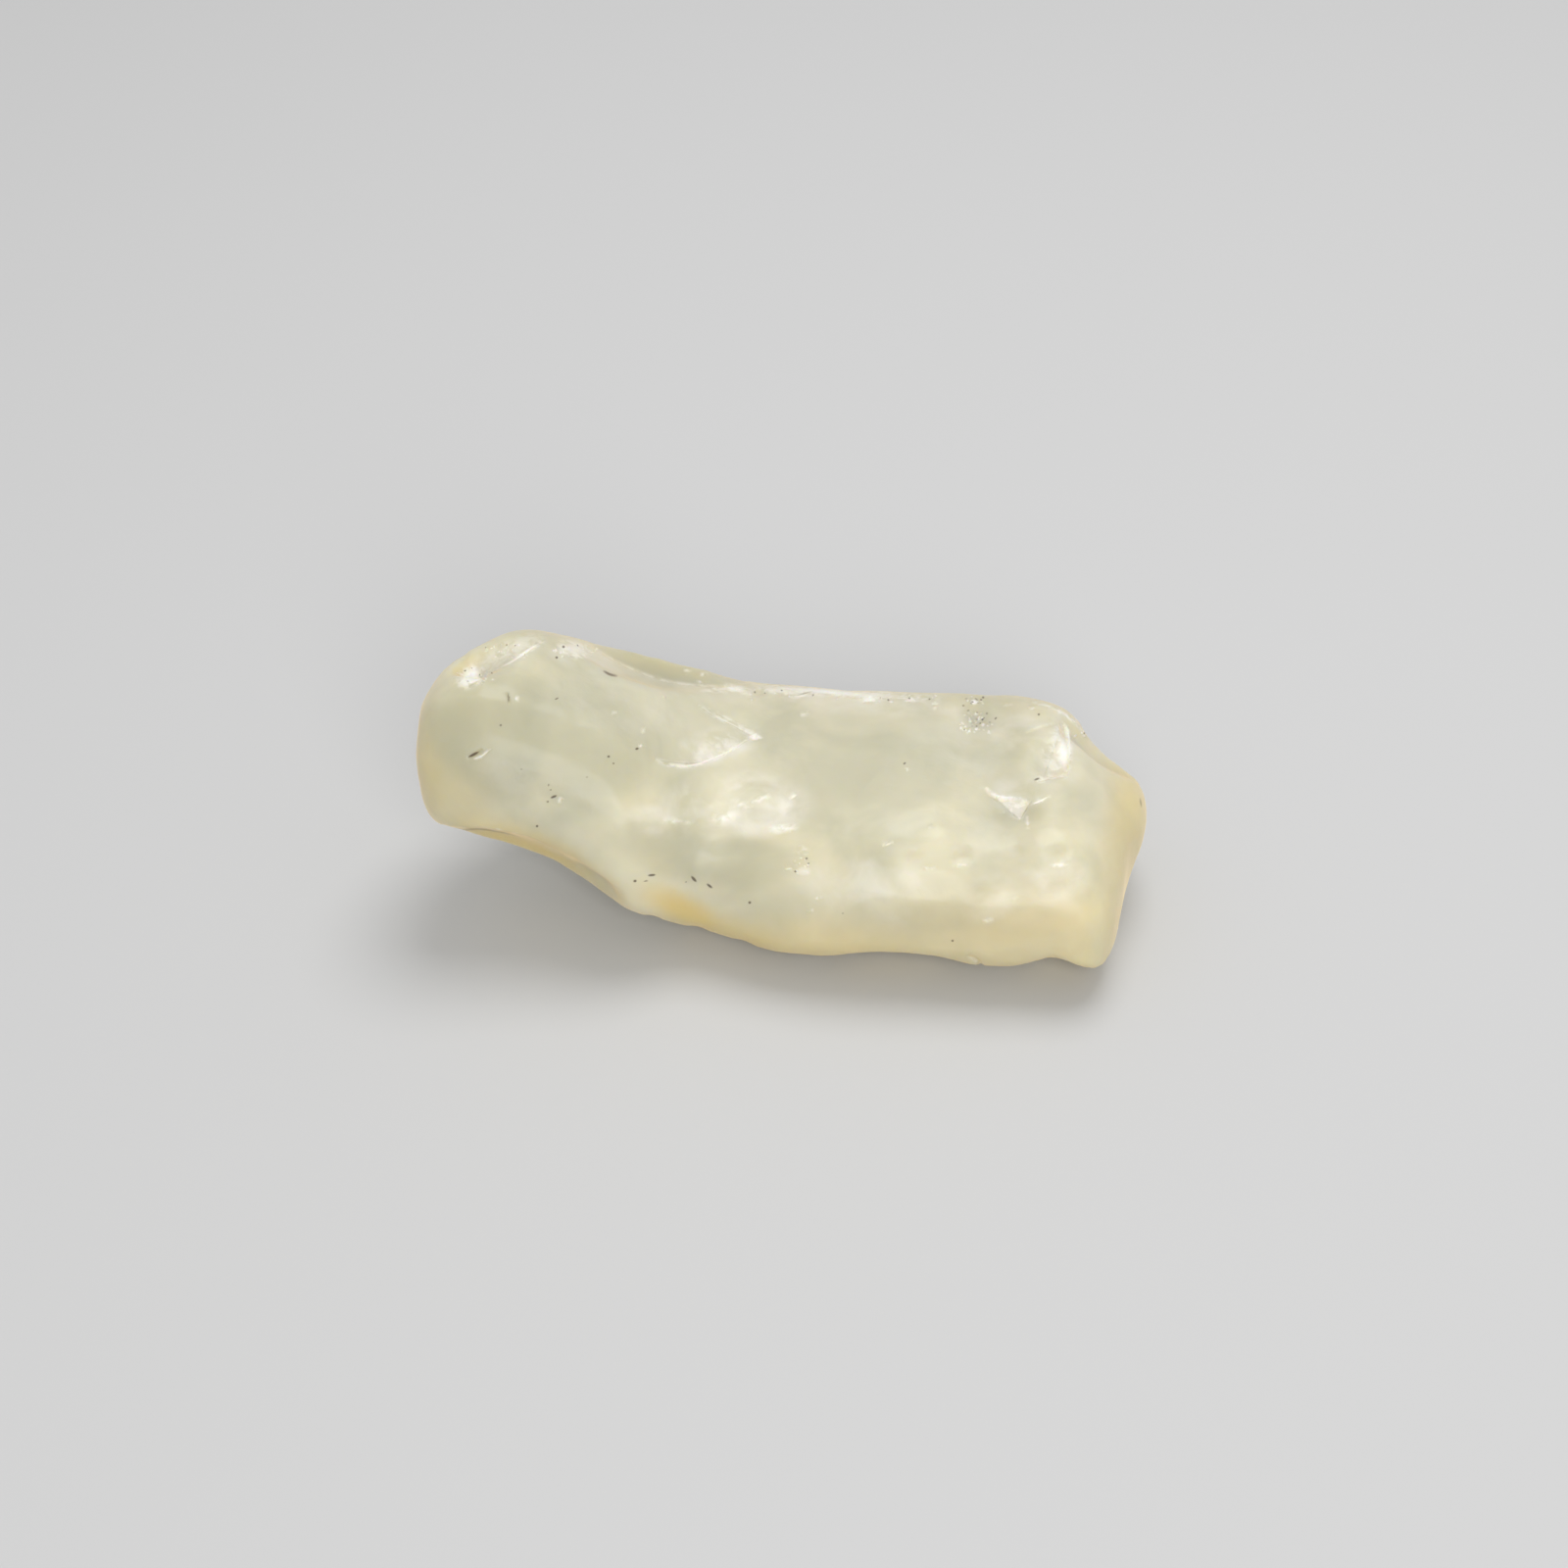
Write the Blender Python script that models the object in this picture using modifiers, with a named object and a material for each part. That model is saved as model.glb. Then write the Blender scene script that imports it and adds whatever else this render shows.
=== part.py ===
"""A raw piece of Libyan desert glass: one solid, lying on the worn flat under its right half.

Run it with: blender --background --python part.py

X runs along the stone, Y away from the viewer and Z up. The stone is laid out round the point
of the table that is in the middle of the picture, and is moved at the end so that the middle of
its footprint is at the origin. All sizes below are millimetres, and MM turns them into metres.
"""

import math

import bmesh
import bpy
import numpy as np
from mathutils import Matrix, Vector
from mathutils.bvhtree import BVHTree

MM = 0.001

# How the picture looks at the stone: the eye's height above the table, in degrees, and its
# distance from the middle of the picture.
EYE_ELEVATION = math.radians(40)
EYE_DISTANCE = 169.0

# The stone's sections from its raised left end to its right end. Each is a rounded box:
# x, y and z of its middle, half its depth, half its height, how square its corners are, where
# 2 is an ellipse, and how far its top leans back for its height.
SECTIONS = (
    (-20.0, -10.3, 10.9, 1.9, 2.1, 2.2, 0.0),
    (-19.2, -9.7, 10.4, 3.5, 3.7, 2.2, 0.0),
    (-18.0, -9.2, 10.3, 4.7, 4.75, 2.3, 0.0),
    (-16.3, -8.6, 10.2, 5.5, 5.4, 2.4, 0.0),
    (-14.0, -7.8, 9.5, 6.5, 5.65, 2.4, 0.0),
    (-11.2, -7.8, 8.3, 7.1, 5.8, 2.35, 0.02),
    (-8.2, -7.8, 6.9, 8.1, 5.9, 2.3, 0.07),
    (-5.2, -7.1, 5.25, 8.2, 5.5, 2.3, 0.15),
    (-2.3, -7.35, 4.4, 8.8, 4.9, 2.4, 0.12),
    (1.0, -8.1, 4.4, 9.3, 4.7, 2.6, 0.04),
    (4.5, -8.7, 4.6, 9.0, 4.9, 2.7, 0.0),
    (8.0, -8.9, 4.6, 9.1, 4.9, 2.7, 0.0),
    (11.5, -8.6, 4.3, 9.8, 4.6, 2.7, 0.0),
    (14.2, -9.3, 4.5, 9.1, 4.8, 2.7, 0.0),
    (16.4, -9.6, 4.15, 9.0, 4.6, 2.5, 0.0),
    (18.0, -10.0, 3.75, 6.9, 3.9, 2.4, 0.0),
    (19.2, -8.6, 4.4, 4.0, 2.7, 2.3, 0.0),
    (20.5, -8.05, 4.8, 1.9, 1.3, 2.2, 0.0),
)
SECTION_POINTS = 12
CAGE_LEVELS = 3

# Hollows of flakes that broke off. The ones in the picture start with their place in it, mm
# right of its middle and mm above it; the others with their place along the stone and the
# angle round it, from the viewer's side over the top. Then come the way the hollow faces,
# half its length, half its width, its depth, and how far its length is turned from level, in
# degrees. Where no way is given, the hollow faces as the surface does.
SEEN_WORN_HOLLOWS = {
    "back_edge": ((-8.2, 7.0), (0.36, 0.46, 0.81), 5.6, 2.8, 0.9, -14),
    "top_left": ((-16.2, 8.3), (-0.5, 0.1, 0.86), 3.0, 1.8, 0.5, 45),
    "top_middle": ((3.8, 1.3), None, 3.4, 3.0, 0.1, 0),
    "top_right": ((9.0, 1.0), None, 3.8, 3.2, 0.1, -20),
    "front_right": ((10.5, -6.6), None, 5.0, 1.8, 0.15, 0),
}
HIDDEN_WORN_HOLLOWS = {
    "left_underside": (-14.8, -35, (-0.25, -0.72, -0.65), 5.4, 2.8, 0.9, 0),
    "front_foot": (5.9, -22, (0.0, -0.64, -0.77), 3.6, 1.8, 0.6, 0),
    "right_foot": (14.9, -22, (0.1, -0.64, -0.77), 2.0, 2.0, 1.1, 0),
    "right_corner": (17.6, 135, (0.6, 0.6, 0.5), 2.6, 1.8, 0.6, 0),
    "back_left": (-10.0, 180, (-0.1, 0.97, 0.2), 5.5, 3.4, 0.9, 10),
    "back_right": (7.0, 175, (0.1, 0.97, 0.25), 6.5, 3.0, 0.8, -8),
    "back_end": (15.5, 190, (0.4, 0.9, -0.1), 3.4, 2.6, 0.6, 20),
    "lobe_underside": (-10.5, 265, (-0.4, 0.1, -0.9), 5.0, 2.8, 0.6, 25),
}
SEEN_CHIPS = {
    "right_chip": ((15.3, 2.0), (0.4, -0.1, 0.91), 2.1, 1.5, 0.3, 80),
    "wing_chip": ((13.9, -1.5), None, 1.5, 0.8, 0.22, -8),
    "rough_pit": ((11.5, 4.1), None, 0.9, 1.3, 0.3, 0),
    "lobe_edge": ((-18.7, 6.5), None, 0.9, 0.8, 0.25, 0),
}

# Each hollow is cut by the lower half of an ellipsoid that is this many times as deep, with an
# upper half tall enough to clear the slopes around it.
WORN_CUTTER_THICKNESS = 2.0
CHIP_CUTTER_THICKNESS = 1.6
CUTTER_HEIGHT = 12.0

WEAR_VOXEL = 0.35
WEAR_PASSES = 12
CHIP_VOXEL = 0.22
CHIP_PASSES = 2
TRIANGLES = 9400

FLOOR_BLOCK = 60.0  # size of the block that cuts the stone flat at the table
GLASS_COLOUR = (0.61, 0.57, 0.40, 1.0)
GLASS_ROUGHNESS = 0.22


def clear_scene():
    for old in list(bpy.data.objects):
        bpy.data.objects.remove(old, do_unlink=True)


def collection(name, home):
    made = bpy.data.collections.new(name)
    home.children.link(made)
    return made


def new_object(name, shape, home):
    """An object of this bmesh, which is used up."""
    mesh = bpy.data.meshes.new(name)
    shape.to_mesh(mesh)
    shape.free()
    made = bpy.data.objects.new(name, mesh)
    home.objects.link(made)
    return made


def new_cutter(name, shape, home):
    cutter = new_object(name, shape, home)
    cutter.hide_render = True
    cutter.display_type = "WIRE"


def section_ring(x, y, z, half_depth, half_height, squareness, lean):
    """Points round one section, as a leaning superellipse, from the viewer's side over the top."""
    power = 2 / squareness
    ring = []
    for step in range(SECTION_POINTS):
        turn = 2 * math.pi * (step + 0.5) / SECTION_POINTS
        out, up = math.cos(turn), math.sin(turn)
        out = math.copysign(abs(out) ** power, out)
        up = half_height * math.copysign(abs(up) ** power, up)
        ring.append((x, y - half_depth * out + lean * up, z + up))
    return ring


def cage_through(points):
    """The cage whose subdivided surface passes through these rings of points."""
    count = len(points)
    along = np.eye(count)
    for row in range(1, count - 1):
        along[row, row - 1 : row + 2] = 1 / 6, 4 / 6, 1 / 6
    steps = np.eye(SECTION_POINTS)
    around = (4 * steps + np.roll(steps, 1, axis=0) + np.roll(steps, -1, axis=0)) / 6
    return np.einsum("ab,cd,bdk->ack", np.linalg.inv(along), np.linalg.inv(around), points)


def body():
    """The cage: the sections' rings joined by quads, closed by a face at each end."""
    shape = bmesh.new()
    cage = cage_through(np.array([section_ring(*row) for row in SECTIONS]) * MM)
    rings = [[shape.verts.new(point) for point in ring] for ring in cage]
    for left, right in zip(rings, rings[1:]):
        for step in range(SECTION_POINTS):
            after = (step + 1) % SECTION_POINTS
            shape.faces.new((left[step], left[after], right[after], right[step]))
    shape.faces.new(rings[0][::-1])
    shape.faces.new(rings[-1])
    bmesh.ops.recalc_face_normals(shape, faces=shape.faces)
    return shape


def surface_of(stone):
    bpy.context.view_layer.update()
    return BVHTree.FromObject(stone, bpy.context.evaluated_depsgraph_get())


def cut_hollow(name, place, facing, along, half_length, half_width, depth, thickness, home):
    """A cutter that dips into the stone by the depth, over the given length and width.

    The share is how much of the ellipsoid's full width is left where it meets the surface.
    """
    half_thickness = thickness * depth
    share = math.sqrt(1 - (1 - 1 / thickness) ** 2)
    side = facing.cross(along).normalized()
    axes = Matrix((side.cross(facing), side, facing)).transposed().to_4x4()
    sizes = Matrix.Diagonal((half_length / share, half_width / share, half_thickness, 1))
    lift = Matrix.Translation((0, 0, half_thickness - depth))
    lens = bmesh.new()
    bmesh.ops.create_uvsphere(lens, u_segments=48, v_segments=32, radius=1)
    lens.transform(lift @ sizes)
    for corner in lens.verts:
        above = corner.co.z - lift.translation.z
        corner.co.z += max(above, 0) * (CUTTER_HEIGHT / half_thickness - 1)
    lens.transform(Matrix.Translation(place) @ axes @ Matrix.Scale(MM, 4))
    new_cutter(name, lens, home)


def cut_seen_hollows(surface, hollows, thickness, home):
    """Cutters for hollows that are given by their place and turn in the picture."""
    view = Vector((0, math.cos(EYE_ELEVATION), -math.sin(EYE_ELEVATION)))
    right = Vector((1, 0, 0))
    above = right.cross(view)
    for name, (where, facing, half_length, half_width, depth, turn) in hollows.items():
        sight = (right * where[0] + above * where[1]) + view * EYE_DISTANCE
        place, normal, _, _ = surface.ray_cast(-view * EYE_DISTANCE * MM, sight.normalized())
        facing = Vector(facing).normalized() if facing else normal
        drawn = right * math.cos(math.radians(turn)) + above * math.sin(math.radians(turn))
        along = drawn - view * drawn.dot(facing) / view.dot(facing)
        cut_hollow(name, place, facing, along, half_length, half_width, depth, thickness, home)


def cut_hidden_hollows(surface, hollows, thickness, home):
    """Cutters for hollows that are given by their place along and round the stone."""
    middles = np.array(SECTIONS)[:, :3]
    for name, (x, angle, facing, half_length, half_width, depth, turn) in hollows.items():
        middle = Vector([np.interp(x, middles[:, 0], column) for column in middles.T])
        outward = Vector((0, -math.cos(math.radians(angle)), math.sin(math.radians(angle))))
        start = (middle + outward * EYE_DISTANCE) * MM
        place, _, _, _ = surface.ray_cast(start, -outward)
        facing = Vector(facing).normalized()
        along = Matrix.Rotation(math.radians(turn), 3, facing) @ Vector((1, 0, 0))
        cut_hollow(name, place, facing, along, half_length, half_width, depth, thickness, home)


def take_away(stone, name, cutters):
    step = stone.modifiers.new(name, "BOOLEAN")
    step.operation = "DIFFERENCE"
    step.operand_type = "COLLECTION"
    step.collection = cutters


def wear_down(stone, name, voxel, passes):
    """Round the edges off: the finer the voxels and the fewer the passes, the crisper."""
    grain = stone.modifiers.new(name + "_grain", "REMESH")
    grain.mode = "VOXEL"
    grain.voxel_size = voxel * MM
    grain.use_smooth_shade = True
    polish = stone.modifiers.new(name + "_polish", "SMOOTH")
    polish.iterations = passes


def evaluated_mesh(stone):
    bpy.context.view_layer.update()
    return stone.evaluated_get(bpy.context.evaluated_depsgraph_get()).to_mesh()


def coarsen(stone):
    """Keep only the triangles that the shape needs."""
    fine = evaluated_mesh(stone)
    fine.calc_loop_triangles()
    fewer = stone.modifiers.new("coarsening", "DECIMATE")
    fewer.ratio = TRIANGLES / len(fine.loop_triangles)
    fewer.use_collapse_triangulate = True


def move_to_origin(stone):
    """Move the stone and its cutters so that the middle of its footprint is at the origin."""
    corners = np.array([corner.co for corner in evaluated_mesh(stone).vertices])
    middle = (corners.min(axis=0) + corners.max(axis=0)) / 2
    for each in bpy.data.objects:
        each.location = (-middle[0], -middle[1], 0)


def glass():
    material = bpy.data.materials.new("desert_glass")
    material.use_nodes = True
    shader = material.node_tree.nodes["Principled BSDF"]
    shader.inputs["Base Color"].default_value = GLASS_COLOUR
    shader.inputs["Roughness"].default_value = GLASS_ROUGHNESS
    shader.inputs["Metallic"].default_value = 0.0
    return material


def main():
    clear_scene()
    parts = collection("libyan_desert_glass", bpy.context.scene.collection)
    cutters = collection("cutters", bpy.context.scene.collection)
    worn = collection("worn_hollow_cutters", cutters)
    fresh = collection("chip_cutters", cutters)
    floor = collection("floor_cutter", cutters)

    stone = new_object("desert_glass", body(), parts)
    stone.data.materials.append(glass())
    rounding = stone.modifiers.new("rounding", "SUBSURF")
    rounding.levels = rounding.render_levels = CAGE_LEVELS

    surface = surface_of(stone)
    cut_seen_hollows(surface, SEEN_WORN_HOLLOWS, WORN_CUTTER_THICKNESS, worn)
    cut_hidden_hollows(surface, HIDDEN_WORN_HOLLOWS, WORN_CUTTER_THICKNESS, worn)
    take_away(stone, "worn_hollows", worn)
    wear_down(stone, "wear", WEAR_VOXEL, WEAR_PASSES)

    surface = surface_of(stone)
    cut_seen_hollows(surface, SEEN_CHIPS, CHIP_CUTTER_THICKNESS, fresh)
    take_away(stone, "chips", fresh)
    wear_down(stone, "handling", CHIP_VOXEL, CHIP_PASSES)
    coarsen(stone)

    block = bmesh.new()
    bmesh.ops.create_cube(block, size=FLOOR_BLOCK * MM)
    bmesh.ops.translate(block, verts=block.verts, vec=(0, 0, -FLOOR_BLOCK * MM / 2))
    new_cutter("floor", block, floor)
    take_away(stone, "resting_flat", floor)
    move_to_origin(stone)


main()
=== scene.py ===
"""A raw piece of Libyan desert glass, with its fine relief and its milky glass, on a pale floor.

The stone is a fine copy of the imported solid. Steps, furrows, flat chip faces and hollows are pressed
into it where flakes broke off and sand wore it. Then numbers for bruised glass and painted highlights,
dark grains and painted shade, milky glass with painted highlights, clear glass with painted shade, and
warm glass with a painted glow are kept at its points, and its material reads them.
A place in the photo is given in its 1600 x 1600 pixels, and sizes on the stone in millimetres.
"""

import math

import bpy
import numpy as np
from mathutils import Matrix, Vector
from mathutils.bvhtree import BVHTree


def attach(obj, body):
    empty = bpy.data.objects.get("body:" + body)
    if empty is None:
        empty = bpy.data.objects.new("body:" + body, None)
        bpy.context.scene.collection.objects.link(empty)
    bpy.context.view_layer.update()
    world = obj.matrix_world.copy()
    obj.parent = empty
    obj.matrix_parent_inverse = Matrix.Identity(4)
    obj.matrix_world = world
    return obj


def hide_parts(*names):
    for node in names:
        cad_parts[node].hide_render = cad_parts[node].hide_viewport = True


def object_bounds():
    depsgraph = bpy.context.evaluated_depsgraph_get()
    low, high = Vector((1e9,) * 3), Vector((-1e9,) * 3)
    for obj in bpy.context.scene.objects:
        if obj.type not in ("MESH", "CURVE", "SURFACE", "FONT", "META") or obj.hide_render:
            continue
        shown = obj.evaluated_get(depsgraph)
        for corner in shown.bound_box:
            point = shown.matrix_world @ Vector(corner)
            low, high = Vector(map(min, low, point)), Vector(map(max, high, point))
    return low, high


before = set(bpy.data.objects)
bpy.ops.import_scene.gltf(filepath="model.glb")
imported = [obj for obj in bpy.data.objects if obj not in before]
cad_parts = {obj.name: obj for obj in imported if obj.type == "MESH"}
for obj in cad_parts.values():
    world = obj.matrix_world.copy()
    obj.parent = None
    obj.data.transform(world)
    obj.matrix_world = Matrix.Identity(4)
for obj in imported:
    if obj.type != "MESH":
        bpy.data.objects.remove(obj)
solid_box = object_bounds()

MM = 0.001

# The camera: what it looks at, from how high above the floor, and from how far.
PICTURE_MIDDLE = Vector((-0.217, 8.556, 0.0)) * MM
EYE_ELEVATION = math.radians(40)
EYE_DISTANCE = 169
LENS = 65.0
SENSOR = 36.0
PHOTO_WIDTH = 1600
PIXEL = EYE_DISTANCE * SENSOR / LENS / PHOTO_WIDTH      # mm, at the middle of the picture
TO_EYE = np.array((0, -math.cos(EYE_ELEVATION), math.sin(EYE_ELEVATION)))
UP_THE_PHOTO = np.array((0, math.sin(EYE_ELEVATION), math.cos(EYE_ELEVATION)))

# The studio, in metres and watts. A soft box has a name, a place, a size and a strength.
FLOOR_SIZE = 6
FLOOR_COLOUR = (0.60, 0.60, 0.60, 1)
FLOOR_ROUGHNESS = 0.7
SOFT_BOXES = (
    ("overhead_light", (0.05, 0.085, 0.30), 0.18, 0.42),
    ("front_light", (0.06, -0.42, 0.26), 0.30, 1.15),
)
LIGHT_TARGET = (0, 0, 6 * MM)
AIR_COLOUR = (1.0, 1.0, 1.0, 1)
AIR_STRENGTH = 0.5

# The fine copy of the solid.
MERGE_DISTANCE = 0.001      # mm between corners of the solid's triangles that are the same point
FACE_SIZE = 0.245           # mm
SMOOTHING = 14              # passes that take the solid's facets away
FINE_REACHES = (0.38, 0.18)     # mm from a mark within which edges are halved, and halved again

# A point's facing is one straight to the eye, zero at the outline and below zero past it.
SEEN_FADE = 0.3             # how far past the outline a point still counts as seen, less and less
FINE_FROM = 0.2             # how much it has to count for the faces there to be made finer
HIDDEN_FROM = -0.1          # the facing below which hidden scars and flecks have their middles
HIDDEN_FADE = 0.2           # how far past the outline hidden scars have their full depth

# Soft unevenness of a wind-worn surface: wavelength and height, mm.
SWELLS = ((4.2, 0.15), (1.9, 0.08), (0.9, 0.025))

# Ovals in the photo where the solid's hollows end in a rim that wind has worn away: middle, half
# length, half width, and turn from level in degrees.
WORN_RIMS = (((850, 905), 4.6, 3.4, 0), ((985, 915), 8.5, 3.2, 0), ((565, 800), 9.5, 4.0, -24))
WORN_PASSES = 260

# Which side of a line lies lower, going along it from its first point.
LEFT, RIGHT = 1, -1

# Steps along the edges of flake scars: the line in the photo, the step's depth, how far the
# lowered ground reaches, the side that it is on, how bright its broken edge is, and how far the
# brightness spreads over the lowered ground. The brightness is whitened broken glass and a painted
# highlight.
SEEN_STEPS = {
    "crescent_lower": (((668, 776), (685, 781), (705, 781), (725, 775), (745, 766), (762, 755), (774, 750)),
                       0.20, 1.6, LEFT, 1.0, 0.3),
    "crescent_upper": (((712, 720), (730, 731), (747, 739), (763, 747), (773, 751)),
                       0.14, 0.9, LEFT, 0.8, 0.3),
    "crescent_ripple": (((729, 726), (741, 732), (754, 739)), 0.07, 0.4, LEFT, 0.5, 0.0),
    "top_left_edge": (((505, 684), (522, 675), (538, 665), (556, 653)), 0.22, 1.3, LEFT, 1.0, 0.25),
    "top_left_ledge": (((472, 704), (484, 699), (494, 691), (506, 684)), 0.14, 0.7, LEFT, 0.7, 0.5),
    "back_ridge": (((598, 656), (623, 672), (648, 684), (676, 694), (707, 699), (738, 700), (764, 697)),
                   0.16, 1.6, LEFT, 0.4, 0.0),
    "underside_fold": (((450, 841), (467, 846), (490, 845), (515, 849), (534, 853), (553, 861),
                        (572, 871), (590, 882)), 0.18, 1.4, RIGHT, 0.2, 0.0),
    "right_chip": (((1084, 736), (1090, 746), (1091, 768), (1089, 793)), 0.14, 1.0, RIGHT, 1.0, 1.3),
    "right_chip_top": (((1046, 748), (1062, 741), (1080, 737)), 0.07, 0.8, RIGHT, 0.2, 0.0),
    "right_chip_foot": (((1056, 798), (1066, 795), (1079, 789)), 0.12, 0.5, LEFT, 0.9, 0.5),
    "wings": (((1006, 803), (1015, 811), (1030, 814), (1052, 816)), 0.18, 1.5, RIGHT, 1.0, 0.25),
    "wing_flank": (((1052, 816), (1046, 826), (1041, 838)), 0.10, 0.8, RIGHT, 0.6, 0.9),
    "pit_arc": (((614, 684), (622, 689), (632, 691)), 0.08, 0.3, LEFT, 0.2, 0.0),
    "top_nick": (((806, 711), (818, 710), (832, 704)), 0.06, 0.4, LEFT, 0.9, 0.25),
}
STEP_EDGE = 0.09            # mm on each side of the line within which the ground falls
# The bright broken edges and the brightness beside them are whitened glass and painted highlights.
LINE_GLOW = 0.09            # half width of a step's bright broken edge, mm
LOWERED_GLOW = 0.85         # brightness of the ground beside it, as a share of the edge's

# Furrows and cracks: the line in the photo, its half width, its depth and its brightness. The
# brightness is whitened glass, and a painted highlight along the top edges and in the bright streaks.
SEEN_FURROWS = {
    "right_wing": (((1051, 821), (1060, 818), (1073, 811)), 0.10, 0.08, 1.0),
    "wing_tail": (((1048, 832), (1049, 847)), 0.09, 0.05, 0.7),
    "scratch_pit": (((477, 773), (484, 770), (492, 765)), 0.11, 0.12, 0.0),
    "scratch_lip": (((483, 775), (492, 771), (502, 763)), 0.08, -0.03, 0.9),
    "foot_notch": (((986, 976), (996, 980), (1003, 987)), 0.13, 0.16, 0.3),
    "bright_streak": (((900, 864), (912, 859)), 0.12, 0.05, 0.8),
    "low_streak": (((798, 887), (811, 886)), 0.12, 0.05, 0.8),
    "foot_streak": (((1001, 941), (1014, 938)), 0.12, 0.04, 0.7),
    "zone_streak": (((805, 816), (814, 810)), 0.12, 0.06, 0.9),
    "high_streak": (((816, 730), (827, 727)), 0.12, 0.05, 0.7),
    "upright_mark": (((518, 706), (520, 719)), 0.08, 0.06, 0.0),
    "top_left_shine": (((520, 675), (532, 668), (543, 661), (555, 654)), 0.15, 0.0, 1.0),
    "top_edge_highlight": (((766, 701), (790, 702), (820, 704), (850, 706), (880, 709), (910, 710), (962, 714)),
                      0.24, 0.03, 0.95),
    "top_edge_left_highlight": (((738, 700), (748, 703), (768, 706)), 0.22, 0.03, 0.9),
    "top_edge_right_highlight": (((1052, 716), (1075, 723), (1096, 736), (1112, 752)), 0.12, 0.02, 0.7),
}

# Flat faces of small chips: the corners in the photo, clockwise, the depth and the brightness,
# which is a whitened chip face and a painted highlight.
SEEN_FACETS = {
    "right_chip": (((1084, 741), (1090, 747), (1092, 768), (1089, 792), (1064, 797)), 0.08, 0.64),
    "wings": (((1013, 812), (1052, 817), (1041, 837)), 0.07, 0.72),
    "top_face_1": (((880, 716), (888, 709), (896, 716)), 0.06, 0.95),
    "top_face_2": (((924, 716), (930, 711), (937, 716)), 0.05, 0.85),
    "top_face_3": (((950, 719), (954, 714), (959, 719)), 0.05, 0.7),
    "top_face_4": (((867, 712), (874, 708), (880, 712)), 0.04, 0.7),
    "crescent_tip": (((764, 751), (771, 748), (778, 753), (769, 756)), 0.05, 0.85),
    "left_corner": (((474, 692), (483, 686), (492, 693), (480, 698)), 0.05, 0.9),
}
FACET_EDGE = 0.08           # mm over which a flat face's edge falls

# Hollows, and lumps where the depth is below zero: middle in the photo, half length, half width,
# turn from level in degrees, and depth.
SEEN_HOLLOWS = {
    "right_dimple": ((1080, 872), 0.95, 0.70, 10, 0.15),
    "middle_dimple": ((981, 873), 0.85, 0.60, 5, 0.14),
    "left_dimple": ((933, 871), 0.80, 0.55, 0, 0.10),
    "far_dimple": ((1040, 868), 0.60, 0.50, 0, 0.07),
    "bright_nick": ((770, 752), 0.42, 0.28, -5, 0.10),
    "small_nick": ((773, 765), 0.25, 0.20, 60, 0.06),
    "grain_pit": ((996, 727), 1.1, 1.1, 90, 0.14),
    "top_chip_1": ((776, 707), 0.5, 0.28, 0, 0.11),
    "top_chip_2": ((797, 706), 0.6, 0.30, 0, 0.11),
    "top_chip_3": ((852, 709), 0.5, 0.25, 0, 0.09),
    "top_chip_4": ((886, 714), 0.6, 0.30, 5, 0.11),
    "top_chip_5": ((932, 714), 0.4, 0.25, 0, 0.09),
    "top_chip_6": ((1052, 718), 0.5, 0.30, -15, 0.09),
    "left_shoulder": ((473, 671), 0.6, 0.35, 45, 0.14),
    "right_shoulder": ((1112, 752), 1.2, 0.5, -55, 0.08),
    "lobe_ridge": ((565, 796), 5.0, 1.9, -26, 0.09),
    "low_lump_1": ((1012, 922), 2.2, 1.4, 20, -0.12),
    "low_lump_2": ((1088, 922), 1.8, 1.4, 0, -0.10),
    "low_lump_3": ((905, 925), 2.4, 1.4, 0, -0.08),
    "low_dip": ((952, 903), 1.8, 1.0, 0, 0.08),
    "foot_wave_1": ((667, 938), 0.7, 0.35, -20, 0.12),
    "foot_wave_2": ((712, 949), 0.8, 0.35, -15, 0.12),
    "foot_wave_3": ((760, 962), 0.8, 0.35, -15, 0.10),
    "foot_corner": ((1108, 985), 1.6, 0.9, 0, -0.25),
    "foot_gap": ((1073, 981), 0.7, 0.5, 0, 0.12),
    "zone_lump_1": ((736, 832), 1.5, 0.9, 5, -0.12),
    "zone_lump_2": ((772, 815), 2.2, 1.0, -8, -0.09),
    "zone_lump_3": ((796, 846), 1.3, 0.5, 0, -0.08),
    "zone_lump_4": ((678, 836), 2.4, 1.1, -8, -0.11),
    "zone_trough_1": ((690, 797), 2.4, 0.9, 5, 0.06),
    "zone_trough_2": ((748, 862), 2.8, 0.8, 0, 0.08),
    "band_lump_1": ((905, 850), 1.8, 1.1, -8, -0.06),
    "band_lump_2": ((958, 852), 1.5, 0.9, 5, -0.06),
    "band_lump_3": ((1016, 864), 1.4, 1.0, 0, -0.05),
    "band_lump_4": ((1058, 882), 1.4, 0.9, 0, -0.05),
}

# Scars scattered over the sides that the photo does not show: how many, the smallest and the
# largest radius, the depth as a share of the radius, and how bright the broken edge is.
HIDDEN_SCARS = ((30, 0.9, 2.6, 0.13, 0.75), (90, 0.25, 0.7, 0.18, 0.6))
HIDDEN_WALL = 0.2           # share of a scar's radius over which its wall falls
HIDDEN_EDGE = 0.22          # half width of its bright broken edge, mm
SCAR_SEED = 11
# Bright and dark flecks there: how many, and the smallest and the largest radius.
HIDDEN_BRIGHT_FLECKS = (90, 0.12, 0.30)
HIDDEN_DARK_FLECKS = (30, 0.12, 0.18)
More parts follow.
